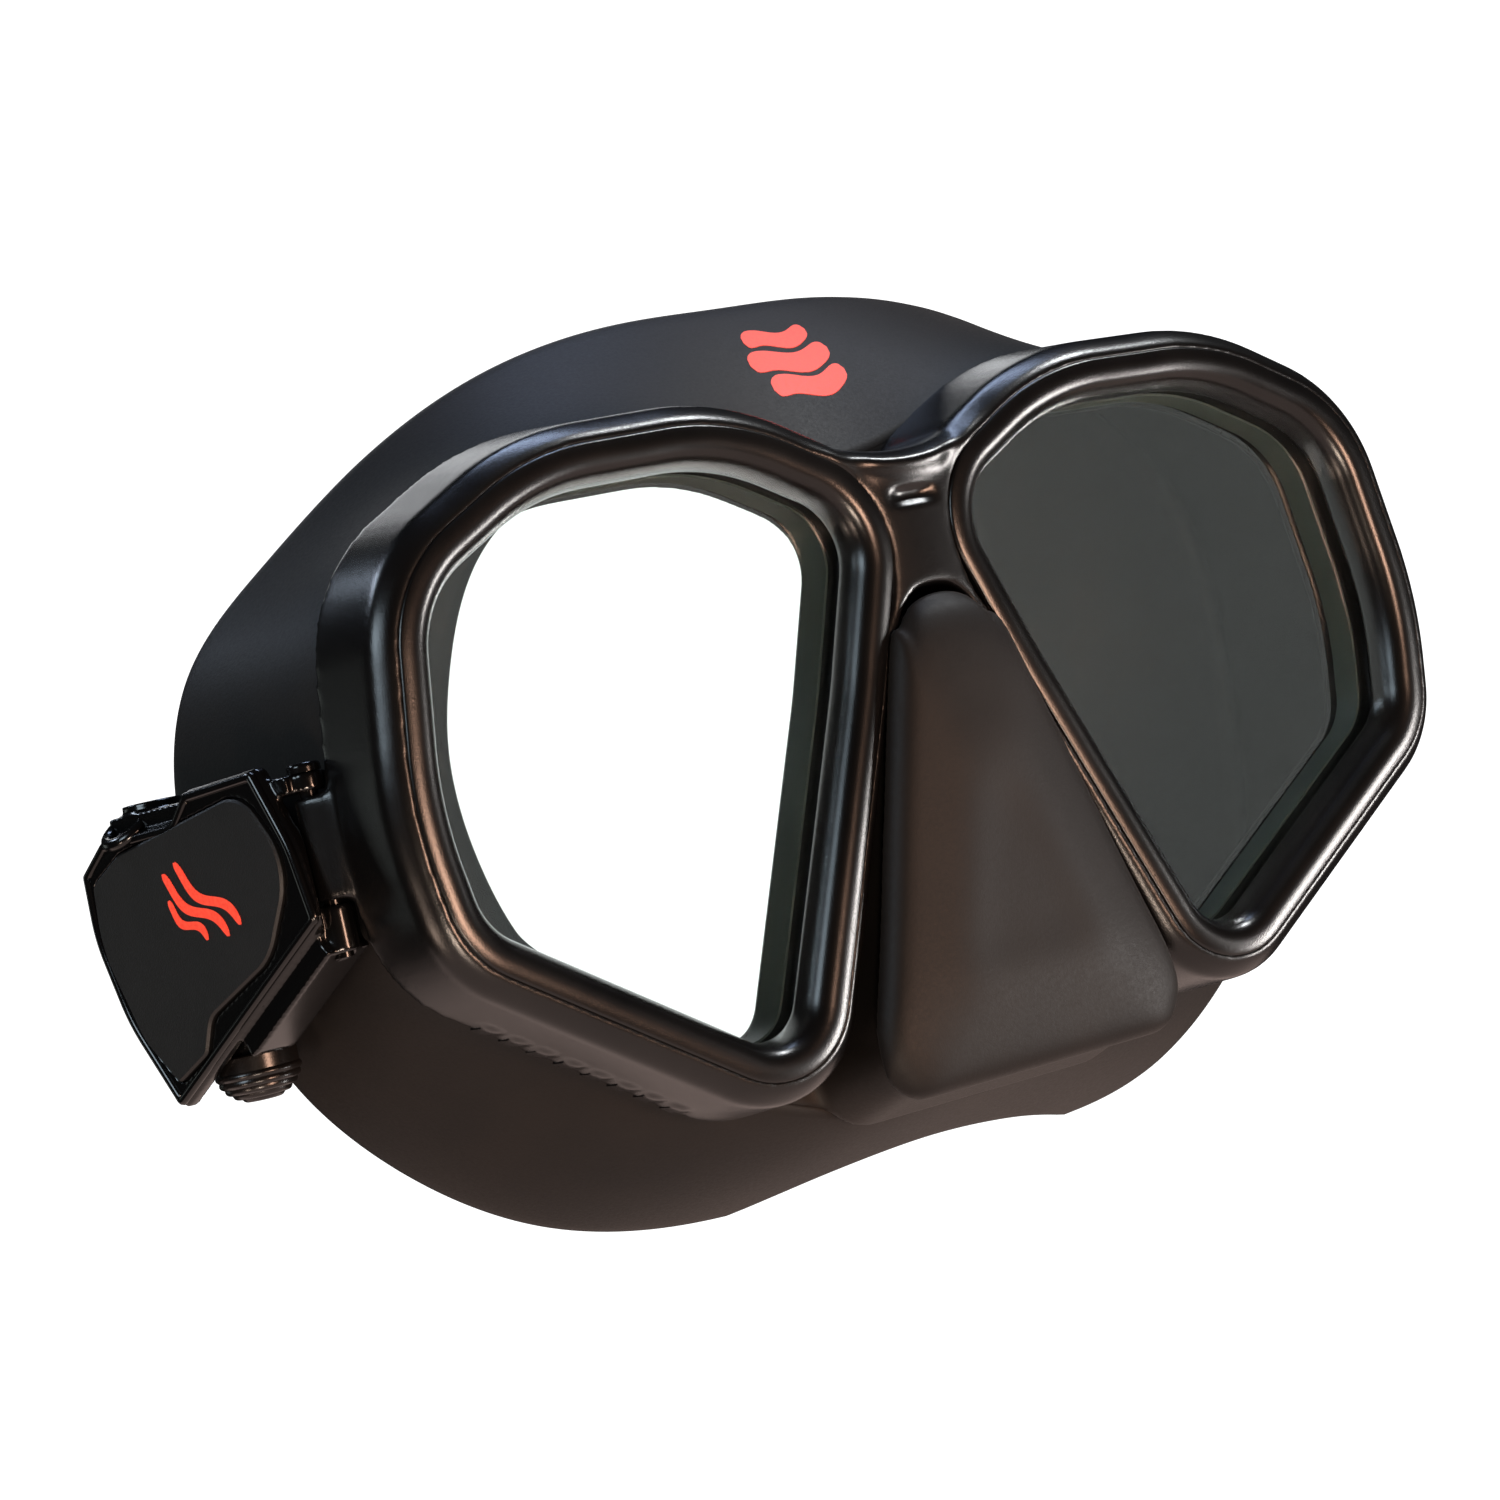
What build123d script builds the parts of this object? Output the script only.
"""Two-window diving mask: frame, bezels, lenses, silicone skirt and two swivelling strap buckles.

The front of the mask faces -Y, +Z is up and +X is the wearer's left. The origin is where the
symmetry plane meets the lenses' front faces. Everything is in millimetres.
"""

import os
from math import cos, radians, sin

from build123d import *

os.makedirs("parts", exist_ok=True)

TO_BACK = (0, 1, 0)
UP = (0, 0, 1)
DOWN = (0, 0, -1)
CUT_THROUGH = 60.0
HANGING = (Align.CENTER, Align.CENTER, Align.MAX)

# Window: the visible glass of the wearer's left eye, as corners (x, z) and their rounding radii.
WINDOW_CORNERS = [
    (7.0, 26.8),
    (22.5, 35.4),
    (45.0, 35.1),
    (60.8, 26.6),
    (64.0, 5.5),
    (62.0, -6.9),
    (29.3, -28.1),
    (13.5, 9.2),
]
WINDOW_RADII = [7.0, 26.0, 26.0, 12.0, 40.0, 7.0, 5.2, 80.0]

# Depth stations along Y, from the front to the back.
BEZEL_CREST_Y = -4.6
FRAME_FRONT_Y = -3.6
LENS_THICKNESS = 4.0
SEAT_BACK_Y = 6.0
FRAME_BACK_Y = 8.0
SKIRT_WALL_Y = 8.1

# How far each ring stands out from the window outline.
LENS_GROW = 2.0
BEZEL_POCKET_GROW = 2.2
BEZEL_GROW = 3.9
FRAME_POCKET_GROW = 4.1
FRAME_LEDGE_GROW = 2.2
FRAME_GROW = 6.7
FRAME_FLARE_DEG = 6.0
LENS_BEVEL = 0.4
BEZEL_INNER_ROUND = 2.2
BEZEL_OUTER_ROUND = 1.2
SHOULDER_ROUND = 2.3

# Bridge over the nose and the notch below it, in which the nose pocket stands.
BRIDGE_TOP = [(-12.5, 37.3), (0, 33.6), (12.5, 37.3)]
BRIDGE_FOOT = [(9, 12), (-9, 12)]
NOTCH_CORNERS = [(4.6, 18.2), (28.4, -45.0), (-28.4, -45.0), (-4.6, 18.2)]
NOTCH_RADII = [4.4, 0, 0, 4.4]

# Grip ribs on the frame's rear edge: middle (x, z), slope in degrees, how many.
RIB_PITCH = 3.4
RIB_SIZE = (1.7, 2.2)
RIB_FRONT_Y = 5.2
RIB_ROWS = [((49.4, -23.3), 33.0, 8), ((56.1, 36.2), -28.3, 4)]

# Silicone skirt: smooth outlines of its left half (x, z) at three depths.
SKIRT_THICKNESS = 1.8
SEAL_THICKNESS = 1.6
RIM_SECTION_Y = 24.0
BACK_SECTION_Y = 42.0
WALL_OUTLINE = [
    (0, 34.5), (13, 37.6), (28, 41.0), (45, 40.2), (59, 33.4), (66, 22.0), (67.6, 8.0),
    (65.5, -7.0), (57, -15.5), (44, -24.0), (30, -31.8), (15, -36.8), (0, -38.0),
]
RIM_OUTLINE = [
    (0, 54.4), (13, 54.2), (30, 50.9), (47, 43.0), (59, 34.4), (67.6, 25.0), (70.9, 10.0),
    (69.6, -4.0), (65.2, -17.5), (56.6, -29.5), (43, -39.8), (22, -44.8), (0, -44.6),
]
BACK_OUTLINE = [
    (0, 66.0), (14, 65.0), (32, 60.0), (49, 49.2), (62, 37.4), (71, 26.4), (75, 11.0),
    (74, -5.0), (69.8, -19.5), (60, -32.8), (44, -44.6), (24, -50.2), (0, -50.0),
]

# The seal follows the face: one large curve over the brow and cheeks and a tighter one at the lip.
SEAL_CENTRE_Y = 27.0
SEAL_CURVE_RADIUS = 225.0
LIP_CENTRE_Y = 20.0
LIP_CURVE_RADIUS = 41.0
LIP_TOP_Z = -31.0
CUTTER_HEIGHT = 200.0
FACE_OPENING_Y = 16.0
FACE_OPENING = [
    (0, 40.0), (20, 40.2), (33, 33.5), (38.7, 19.0), (38.6, 2.0),
    (35, -13.0), (27, -26.0), (14, -37.0), (0, -39.0),
]

# Lens seats and the tubes that reach back through the frame.
SEAT_GROW = 3.6
TUBE_GROW = 1.9
TUBE_BORE_GROW = 0.1
SEAT_GAP = 0.05

# Nose pocket: corners of its face, the neck behind it and its crowned front.
NOSE_CORNERS = [
    (5.4, 16.4), (20.4, -27.8), (20.6, -35.8),
    (-20.6, -35.8), (-20.4, -27.8), (-5.4, 16.4),
]
NOSE_RADII = [5.0, 18.0, 5.0, 5.0, 18.0, 5.0]
NOSE_MIDDLE = (0, -16.0)
NOSE_BACK_Y = -3.9
NOSE_CROWN = [(NOSE_BACK_Y, 1.0), (-6.0, 0.97), (-7.4, 0.86), (-8.3, 0.62), (-8.6, 0.3)]
NOSE_BORE_Y = -4.4
NECK_BACK_CORNERS = [
    (4.9, 15.4), (19.2, -27.0), (24.5, -38.4),
    (-24.5, -38.4), (-19.2, -27.0), (-4.9, 15.4),
]
NECK_BACK_RADII = [4.6, 14.0, 6.0, 6.0, 14.0, 4.6]
NECK_BACK_Y = 9.0
NOSE_SHARE_NECK = 0.92
NOSE_SHARE_BORE = 0.80

# Buckle: its outer face is a vertical plane turned outwards from the side of the head. Outlines on
# it are (distance backwards, z); round posts stand at (distance backwards, distance outwards).
BUCKLE_ORIGIN = (76.5, 11.5, 0)
BUCKLE_YAW_DEG = 14.3
PLATE_CORNERS = [
    (0.8, 13.9), (-2.9, 5.5), (-4.5, -2.7), (23.8, -19.4), (29.6, -9.5),
    (32.2, 0.0), (31.9, 7.3), (27.5, 10.4), (15.4, 10.6), (12.4, 13.4),
]
PLATE_RADII = [0.8, 15.0, 1.0, 0.8, 20.0, 16.0, 0.8, 1.5, 1.2, 1.0]
PLATE_THICKNESS = 2.0
PLATE_BEVEL = 0.7
COVER_CORNERS = [
    (3.2, 12.0), (-2.2, 3.5), (4.0, -5.6), (15.3, -10.3), (17.2, -14.0),
    (22.9, -16.6), (27.2, -11.5), (31.0, -1.0), (30.2, 6.0), (25.0, 8.6),
]
COVER_RADII = [5.0, 7.0, 8.0, 3.0, 1.5, 1.0, 12.0, 14.0, 1.2, 4.0]
COVER_RECESS = 0.9
COVER_PROUD = 0.4
COVER_GAP = 0.1
COVER_BEVEL = 0.25

# Walls behind the plate that carry the roller, the pawl and the hinge.
WALL_START = 1.2
BUCKLE_DEPTH = 7.0
WALL_INNER_Z = 10.4
WALL_OUTER_Z = 12.4
UPPER_WALL = [(-2.5, 10.4), (27.0, 10.4), (27.0, 12.4), (-2.5, 12.4)]
LOWER_WALL = [
    (-2.2, -4.6), (8.6, -10.4), (26.0, -10.4), (26.0, -12.4),
    (13.4, -12.4), (12.2, -15.2), (11.2, -14.8), (-3.4, -6.2),
]
KNUCKLE_BLOCK = [(-2.5, -6.4), (3.0, -6.4), (3.0, -1.4), (-2.5, -1.4)]
KNUCKLE_BOTTOM_Z = -6.4
KNUCKLE_TOP_Z = -1.4
KNUCKLE_RADIUS = 1.8
HINGE_RELIEF = [(-5.2, 0.0), (-5.2, -2.3), (-2.1, -2.3)]
PIN_SPOT = (-2.5, -4.0)
PIN_RADIUS = 1.0
PIN_BOTTOM_Z = -6.9
PIN_HEAD_RADIUS = 1.8
PIN_HEAD_HEIGHT = 1.0
RUNNING_GAP = 0.05

# Hinge lug at the frame's temple, behind its rear edge.
LUG_BOTTOM_Z = -1.0
LUG_TOP_Z = 10.0
LUG_RADIUS = 1.65
LUG_REACH = [(69.0, 6.8), (71.7, 6.8), (73.55, 9.5), (70.4, 10.5)]

# Strap roller and its axle.
ROLLER_SPOT = (23.5, -4.7)
ROLLER_RADIUS = 2.3
ROLLER_HALF = 9.9
ROLLER_FLUTES = 16
FLUTE_RADIUS = 0.3
AXLE_RADIUS = 0.9
AXLE_ENDS_Z = (-11.9, 12.9)
BOSS_RADIUS = 3.2
BOSS_TOP_Z = 13.4
BOSS_DISH_RADIUS = 2.2
BOSS_DISH_Z = 12.3

# Pawl that bites the strap against the roller, and its pivot pin.
PAWL_SPOT = (9.5, -4.5)
PAWL_PIN_RADIUS = 0.8
PAWL_PIN_ENDS_Z = (-11.9, 11.9)
PAWL_HUB_RADIUS = 1.8
PAWL_HALF = 7.5
PAWL_LEVER = [(9.5, -5.3), (19.6, -5.3), (20.4, -3.4), (19.0, -3.9), (9.5, -3.7)]

# Push button under the buckle, its collar and its coil spring.
BUTTON_SPOT = (18.4, -6.8)
BUTTON_RADIUS = 4.5
BUTTON_BORE_RADIUS = 3.75
BUTTON_RIM_Z = -15.0
BUTTON_FLOOR_Z = -18.4
BUTTON_STEPS = [(4.3, -18.9), (3.5, -19.4), (2.6, -19.8), (1.6, -20.2)]
STEM_RADIUS = 1.4
STEM_TOP_Z = -9.6
COLLAR_RADIUS = 3.45
COLLAR_END_Z = -16.2
POCKET_RADIUS = 2.8
POCKET_TOP_Z = -12.8
SPRING_RADIUS = 2.2
SPRING_WIRE_RADIUS = 0.28
SPRING_TURNS = 4

yaw = radians(BUCKLE_YAW_DEG)
BACKWARD = (sin(yaw), cos(yaw), 0)
OUTWARD = (cos(yaw), -sin(yaw), 0)
INWARD = (-cos(yaw), sin(yaw), 0)
buckle_plane = Plane(origin=BUCKLE_ORIGIN, x_dir=BACKWARD, z_dir=OUTWARD)
outward_axis = Axis(BUCKLE_ORIGIN, OUTWARD)


def front_plane(y):
    """A plane across the mask at depth y, with sketch x along +X and sketch y along +Z."""
    return Plane.XZ.offset(-y)


def post_plane(spot, z):
    """A level plane at height z with its origin at a post of the buckle, facing up."""
    x = BUCKLE_ORIGIN[0] + spot[0] * BACKWARD[0] + spot[1] * OUTWARD[0]
    y = BUCKLE_ORIGIN[1] + spot[0] * BACKWARD[1] + spot[1] * OUTWARD[1]
    return Plane(origin=(x, y, z), x_dir=BACKWARD, z_dir=UP)


def grown_corners(grow):
    """The window's corners moved out so that every side of the outline stands grow further out."""
    corners = [Vector(x, z) for x, z in WINDOW_CORNERS]
    moved = []
    for index, here in enumerate(corners):
        side_in = (here - corners[index - 1]).normalized()
        side_out = (corners[(index + 1) % len(corners)] - here).normalized()
        normal_in = Vector(-side_in.Y, side_in.X)
        normal_out = Vector(-side_out.Y, side_out.X)
        moved.append(here + (normal_in + normal_out) * (grow / (1 + normal_in.dot(normal_out))))
    return [(corner.X, corner.Y) for corner in moved]


def rounded_face(plane, corners, radii):
    """A face on a plane with rounded corners."""
    with BuildSketch(plane) as face:
        with BuildLine():
            FilletPolyline(*corners, radius=radii, close=True)
        make_face()
    return face.sketch


def eye_face(y, grow=0.0):
    """The window outline of the left eye at depth y, grown outwards."""
    return rounded_face(front_plane(y), grown_corners(grow), [radius + grow for radius in WINDOW_RADII])


def both_eyes(y, grow=0.0):
    """The window outlines of both eyes at depth y."""
    left = eye_face(y, grow)
    return [left, mirror(left, about=Plane.YZ)]


def smooth_face(y, half, inset=0.0):
    """A smooth symmetric face at depth y through the points of its left half, drawn in by inset."""
    drawn_in = []
    for x, z in half:
        share = 1 - inset / (x * x + z * z) ** 0.5
        drawn_in.append((x * share, z * share))
    other_half = [(-x, z) for x, z in reversed(drawn_in) if x > 0]
    with BuildSketch(front_plane(y)) as face:
        with BuildLine():
            Spline(*drawn_in, *other_half, periodic=True)
        make_face()
    return face.sketch


def nose_face(y, share):
    """The nose pocket's outline at depth y, drawn towards its middle to a share of its size."""
    middle_x, middle_z = NOSE_MIDDLE
    corners = []
    for x, z in NOSE_CORNERS:
        corners.append((middle_x + (x - middle_x) * share, middle_z + (z - middle_z) * share))
    return rounded_face(front_plane(y), corners, [radius * share for radius in NOSE_RADII])


def post(spot, radius, bottom, top, mode=Mode.ADD):
    """A round upright post or hole of the buckle, between two heights."""
    with BuildSketch(post_plane(spot, bottom)) as section:
        Circle(radius)
    extrude(section.sketch, amount=top - bottom, dir=UP, mode=mode)


def save(shape, name):
    """Labels a finished piece and writes it as its own STEP file."""
    shape.label = name
    export_step(shape, f"parts/{name}.step")


def save_pair(shape, name):
    """Writes a left-hand piece and its mirror image for the right-hand side."""
    save(shape, f"left_{name}")
    save(mirror(shape, about=Plane.YZ), f"right_{name}")


# Lens: flat tempered glass with a ground edge.
with BuildPart() as lens:
    extrude(eye_face(0, LENS_GROW), amount=LENS_THICKNESS, dir=TO_BACK)
    chamfer(lens.edges().group_by(Axis.Y)[-1], LENS_BEVEL)
save_pair(lens.part, "lens")

# Bezel: a rounded retaining ring whose lip laps the lens and whose skirt runs back around it.
with BuildPart() as bezel:
    extrude(eye_face(BEZEL_CREST_Y, BEZEL_GROW), amount=LENS_THICKNESS - BEZEL_CREST_Y, dir=TO_BACK)
    extrude(eye_face(BEZEL_CREST_Y), amount=CUT_THROUGH, dir=TO_BACK, mode=Mode.SUBTRACT)
    extrude(eye_face(0, BEZEL_POCKET_GROW), amount=CUT_THROUGH, dir=TO_BACK, mode=Mode.SUBTRACT)
    fillet(bezel.faces().sort_by(Axis.Y)[0].inner_wires()[0].edges(), BEZEL_INNER_ROUND)
    fillet(bezel.faces().sort_by(Axis.Y)[0].outer_wire().edges(), BEZEL_OUTER_ROUND)
save_pair(bezel.part, "bezel")

# Frame: both pockets, the bridge over the nose, grip ribs and a hinge lug at each temple.
with BuildPart() as frame:
    for face in both_eyes(FRAME_FRONT_Y, FRAME_GROW):
        extrude(face, amount=FRAME_BACK_Y - FRAME_FRONT_Y, dir=TO_BACK, taper=-FRAME_FLARE_DEG)
    with BuildSketch(front_plane(FRAME_FRONT_Y)) as bridge:
        with BuildLine():
            ThreePointArc(*BRIDGE_TOP)
            Polyline(BRIDGE_TOP[-1], *BRIDGE_FOOT, BRIDGE_TOP[0])
        make_face()
    extrude(bridge.sketch, amount=FRAME_BACK_Y - FRAME_FRONT_Y, dir=TO_BACK)
    fillet(frame.faces().sort_by(Axis.Y)[0].outer_wire().edges(), SHOULDER_ROUND)
    notch = rounded_face(front_plane(FRAME_FRONT_Y), NOTCH_CORNERS, NOTCH_RADII)
    extrude(notch, amount=CUT_THROUGH, dir=TO_BACK, both=True, mode=Mode.SUBTRACT)
    for middle, slope, count in RIB_ROWS:
        for index in range(count):
            along = (index - (count - 1) / 2) * RIB_PITCH
            x = middle[0] + along * cos(radians(slope))
            z = middle[1] + along * sin(radians(slope))
            with BuildSketch(front_plane(RIB_FRONT_Y)) as rib:
                with Locations(Location((x, z, 0), (0, 0, slope))):
                    Rectangle(*RIB_SIZE)
                with Locations(Location((-x, z, 0), (0, 0, -slope))):
                    Rectangle(*RIB_SIZE)
            extrude(rib.sketch, amount=FRAME_BACK_Y - RIB_FRONT_Y, dir=TO_BACK)
    hinge = post_plane(PIN_SPOT, 0).origin
    for side in (1, -1):
        with BuildSketch(Plane.XY.offset(LUG_BOTTOM_Z)) as lug:
            with BuildLine():
                Polyline(*[(side * x, y) for x, y in LUG_REACH], close=True)
            make_face()
            with Locations((side * hinge.X, hinge.Y)):
                Circle(LUG_RADIUS)
        extrude(lug.sketch, amount=LUG_TOP_Z - LUG_BOTTOM_Z, dir=UP)
        bore_length = LUG_TOP_Z - LUG_BOTTOM_Z
        with Locations((side * hinge.X, hinge.Y, LUG_TOP_Z)):
            Cylinder(PIN_RADIUS + RUNNING_GAP, bore_length, align=HANGING, mode=Mode.SUBTRACT)
    for face in both_eyes(FRAME_FRONT_Y - 1, FRAME_POCKET_GROW):
        extrude(face, amount=SEAT_BACK_Y - FRAME_FRONT_Y + 1, dir=TO_BACK, mode=Mode.SUBTRACT)
    for face in both_eyes(FRAME_FRONT_Y, FRAME_LEDGE_GROW):
        extrude(face, amount=CUT_THROUGH, dir=TO_BACK, mode=Mode.SUBTRACT)
save(frame.part, "frame")

# Cavity of the skirt: the space for the face and nose, made as one solid and then cut away.
with BuildPart() as cavity:
    loft([
        smooth_face(SKIRT_WALL_Y + SKIRT_THICKNESS, WALL_OUTLINE, SKIRT_THICKNESS),
        smooth_face(RIM_SECTION_Y, RIM_OUTLINE, SKIRT_THICKNESS),
        smooth_face(BACK_SECTION_Y, BACK_OUTLINE, SKIRT_THICKNESS),
    ])
    with Locations((0, SEAL_CENTRE_Y + SEAL_CURVE_RADIUS, 0)):
        Cylinder(SEAL_CURVE_RADIUS + SEAL_THICKNESS, CUTTER_HEIGHT, mode=Mode.SUBTRACT)
    with Locations((0, LIP_CENTRE_Y + LIP_CURVE_RADIUS, LIP_TOP_Z + SEAL_THICKNESS)):
        Cylinder(LIP_CURVE_RADIUS + SEAL_THICKNESS, CUT_THROUGH, align=HANGING, mode=Mode.SUBTRACT)
    bore_back = SKIRT_WALL_Y + 2 * SKIRT_THICKNESS
    extrude(nose_face(NOSE_BORE_Y, NOSE_SHARE_BORE), amount=bore_back - NOSE_BORE_Y, dir=TO_BACK)
    for face in both_eyes(0, TUBE_BORE_GROW):
        extrude(face, amount=bore_back, dir=TO_BACK)
    extrude(smooth_face(FACE_OPENING_Y, FACE_OPENING), amount=CUT_THROUGH, dir=TO_BACK)

# Skirt: lens seats, tubes through the frame, flared wall, curled face seal and nose pocket.
with BuildPart() as skirt:
    loft([
        smooth_face(SKIRT_WALL_Y, WALL_OUTLINE),
        smooth_face(RIM_SECTION_Y, RIM_OUTLINE),
        smooth_face(BACK_SECTION_Y, BACK_OUTLINE),
    ])
    with Locations((0, SEAL_CENTRE_Y + SEAL_CURVE_RADIUS, 0)):
        Cylinder(SEAL_CURVE_RADIUS, CUTTER_HEIGHT, mode=Mode.SUBTRACT)
    with Locations((0, LIP_CENTRE_Y + LIP_CURVE_RADIUS, LIP_TOP_Z)):
        Cylinder(LIP_CURVE_RADIUS, CUT_THROUGH, align=HANGING, mode=Mode.SUBTRACT)
    for face in both_eyes(LENS_THICKNESS + SEAT_GAP, SEAT_GROW):
        extrude(face, amount=SEAT_BACK_Y - LENS_THICKNESS - 2 * SEAT_GAP, dir=TO_BACK)
    for face in both_eyes(LENS_THICKNESS + SEAT_GAP, TUBE_GROW):
        extrude(face, amount=SKIRT_WALL_Y - LENS_THICKNESS, dir=TO_BACK)
    neck_back = rounded_face(front_plane(NECK_BACK_Y), NECK_BACK_CORNERS, NECK_BACK_RADII)
    loft([nose_face(NOSE_BACK_Y, NOSE_SHARE_NECK), neck_back])
    loft([nose_face(y, share) for y, share in NOSE_CROWN])
    add(cavity.part, mode=Mode.SUBTRACT)
save(skirt.part, "skirt")

# Buckle body: face plate, strap walls, hinge knuckles, roller boss and button collar.
with BuildPart() as buckle_body:
    extrude(rounded_face(buckle_plane, PLATE_CORNERS, PLATE_RADII), amount=PLATE_THICKNESS, dir=INWARD)
    chamfer(buckle_body.faces().sort_by(outward_axis)[-1].outer_wire().edges(), PLATE_BEVEL)
    with BuildSketch(post_plane((0, 0), WALL_OUTER_Z)) as relief:
        with BuildLine():
            Polyline(*[(back, -out) for back, out in HINGE_RELIEF], close=True)
        make_face()
    extrude(relief.sketch, amount=CUT_THROUGH, dir=DOWN, mode=Mode.SUBTRACT)
    recess = rounded_face(buckle_plane, COVER_CORNERS, COVER_RADII)
    extrude(recess, amount=COVER_RECESS, dir=INWARD, mode=Mode.SUBTRACT)
    for outline in (UPPER_WALL, LOWER_WALL, KNUCKLE_BLOCK):
        with BuildSketch(buckle_plane.offset(-WALL_START)) as wall:
            with BuildLine():
                Polyline(*outline, close=True)
            make_face()
        extrude(wall.sketch, amount=BUCKLE_DEPTH - WALL_START, dir=INWARD)
    post(PIN_SPOT, KNUCKLE_RADIUS, WALL_INNER_Z, WALL_OUTER_Z)
    post(PIN_SPOT, KNUCKLE_RADIUS, KNUCKLE_BOTTOM_Z, KNUCKLE_TOP_Z)
    post(ROLLER_SPOT, BOSS_RADIUS, WALL_INNER_Z, BOSS_TOP_Z)
    post(BUTTON_SPOT, COLLAR_RADIUS, COLLAR_END_Z, -WALL_INNER_Z)
    post(PIN_SPOT, PIN_RADIUS, PIN_BOTTOM_Z, WALL_OUTER_Z, Mode.SUBTRACT)
    post(ROLLER_SPOT, AXLE_RADIUS, *AXLE_ENDS_Z, Mode.SUBTRACT)
    post(ROLLER_SPOT, BOSS_DISH_RADIUS, BOSS_DISH_Z, BOSS_TOP_Z, Mode.SUBTRACT)
    post(PAWL_SPOT, PAWL_PIN_RADIUS, *PAWL_PIN_ENDS_Z, Mode.SUBTRACT)
    post(BUTTON_SPOT, STEM_RADIUS + RUNNING_GAP, COLLAR_END_Z, 0, Mode.SUBTRACT)
    post(BUTTON_SPOT, POCKET_RADIUS, COLLAR_END_Z, POCKET_TOP_Z, Mode.SUBTRACT)
save_pair(buckle_body.part, "buckle_body")

# Buckle cover: a matte inlay that stands a little proud of the plate.
with BuildPart() as buckle_cover:
    with BuildSketch(buckle_plane.offset(-COVER_RECESS)) as cover_face:
        with BuildLine():
            FilletPolyline(*COVER_CORNERS, radius=COVER_RADII, close=True)
        make_face()
        offset(amount=-COVER_GAP)
    extrude(cover_face.sketch, amount=COVER_RECESS + COVER_PROUD, dir=OUTWARD)
    chamfer(buckle_cover.faces().sort_by(outward_axis)[-1].edges(), COVER_BEVEL)
save_pair(buckle_cover.part, "buckle_cover")

# Hinge pin with a domed head at its upper end.
with BuildPart() as hinge_pin:
    post(PIN_SPOT, PIN_RADIUS, PIN_BOTTOM_Z, WALL_OUTER_Z)
    post(PIN_SPOT, PIN_HEAD_RADIUS, WALL_OUTER_Z, WALL_OUTER_Z + PIN_HEAD_HEIGHT)
    fillet(hinge_pin.edges().group_by(Axis.Z)[-1], PIN_HEAD_HEIGHT / 2)
save_pair(hinge_pin.part, "hinge_pin")

# Strap roller: a fluted sleeve that turns on its axle.
with BuildPart() as strap_roller:
    post(ROLLER_SPOT, ROLLER_RADIUS, -ROLLER_HALF, ROLLER_HALF)
    with BuildSketch(post_plane(ROLLER_SPOT, -ROLLER_HALF)) as flutes:
        with PolarLocations(ROLLER_RADIUS, ROLLER_FLUTES):
            Circle(FLUTE_RADIUS)
        Circle(AXLE_RADIUS + RUNNING_GAP)
    extrude(flutes.sketch, amount=2 * ROLLER_HALF, dir=UP, mode=Mode.SUBTRACT)
save_pair(strap_roller.part, "strap_roller")

with BuildPart() as roller_axle:
    post(ROLLER_SPOT, AXLE_RADIUS, *AXLE_ENDS_Z)
    chamfer(roller_axle.edges().group_by(Axis.Z)[-1], AXLE_RADIUS / 3)
save_pair(roller_axle.part, "roller_axle")

# Pawl: a hub with a toothed lever.
with BuildPart() as pawl:
    post(PAWL_SPOT, PAWL_HUB_RADIUS, -PAWL_HALF, PAWL_HALF)
    with BuildSketch(post_plane((0, 0), -PAWL_HALF)) as lever:
        with BuildLine():
            Polyline(*[(back, -out) for back, out in PAWL_LEVER], close=True)
        make_face()
    extrude(lever.sketch, amount=2 * PAWL_HALF, dir=UP)
    post(PAWL_SPOT, PAWL_PIN_RADIUS + RUNNING_GAP, -PAWL_HALF, PAWL_HALF, Mode.SUBTRACT)
save_pair(pawl.part, "pawl")

with BuildPart() as pawl_pin:
    post(PAWL_SPOT, PAWL_PIN_RADIUS, *PAWL_PIN_ENDS_Z)
save_pair(pawl_pin.part, "pawl_pin")

# Push button: a stepped dome that slides up over the collar, with a stem towards the pawl.
with BuildPart() as release_button:
    post(BUTTON_SPOT, BUTTON_RADIUS, BUTTON_FLOOR_Z, BUTTON_RIM_Z)
    post(BUTTON_SPOT, BUTTON_BORE_RADIUS, BUTTON_FLOOR_Z, BUTTON_RIM_Z, Mode.SUBTRACT)
    step_top = BUTTON_FLOOR_Z
    for step_radius, step_bottom in BUTTON_STEPS:
        post(BUTTON_SPOT, step_radius, step_bottom, step_top)
        step_top = step_bottom
    post(BUTTON_SPOT, STEM_RADIUS, BUTTON_FLOOR_Z, STEM_TOP_Z)
save_pair(release_button.part, "release_button")

# Coil spring between the button's floor and the top of the collar's pocket.
with BuildPart() as button_spring:
    spring_foot = post_plane(BUTTON_SPOT, BUTTON_FLOOR_Z + SPRING_WIRE_RADIUS).origin
    spring_height = POCKET_TOP_Z - BUTTON_FLOOR_Z - 2 * SPRING_WIRE_RADIUS
    with BuildLine() as coil:
        Helix(spring_height / SPRING_TURNS, spring_height, SPRING_RADIUS, center=spring_foot)
    with BuildSketch(Plane(origin=coil.line @ 0, z_dir=coil.line % 0)):
        Circle(SPRING_WIRE_RADIUS)
    sweep()
save_pair(button_spring.part, "button_spring")
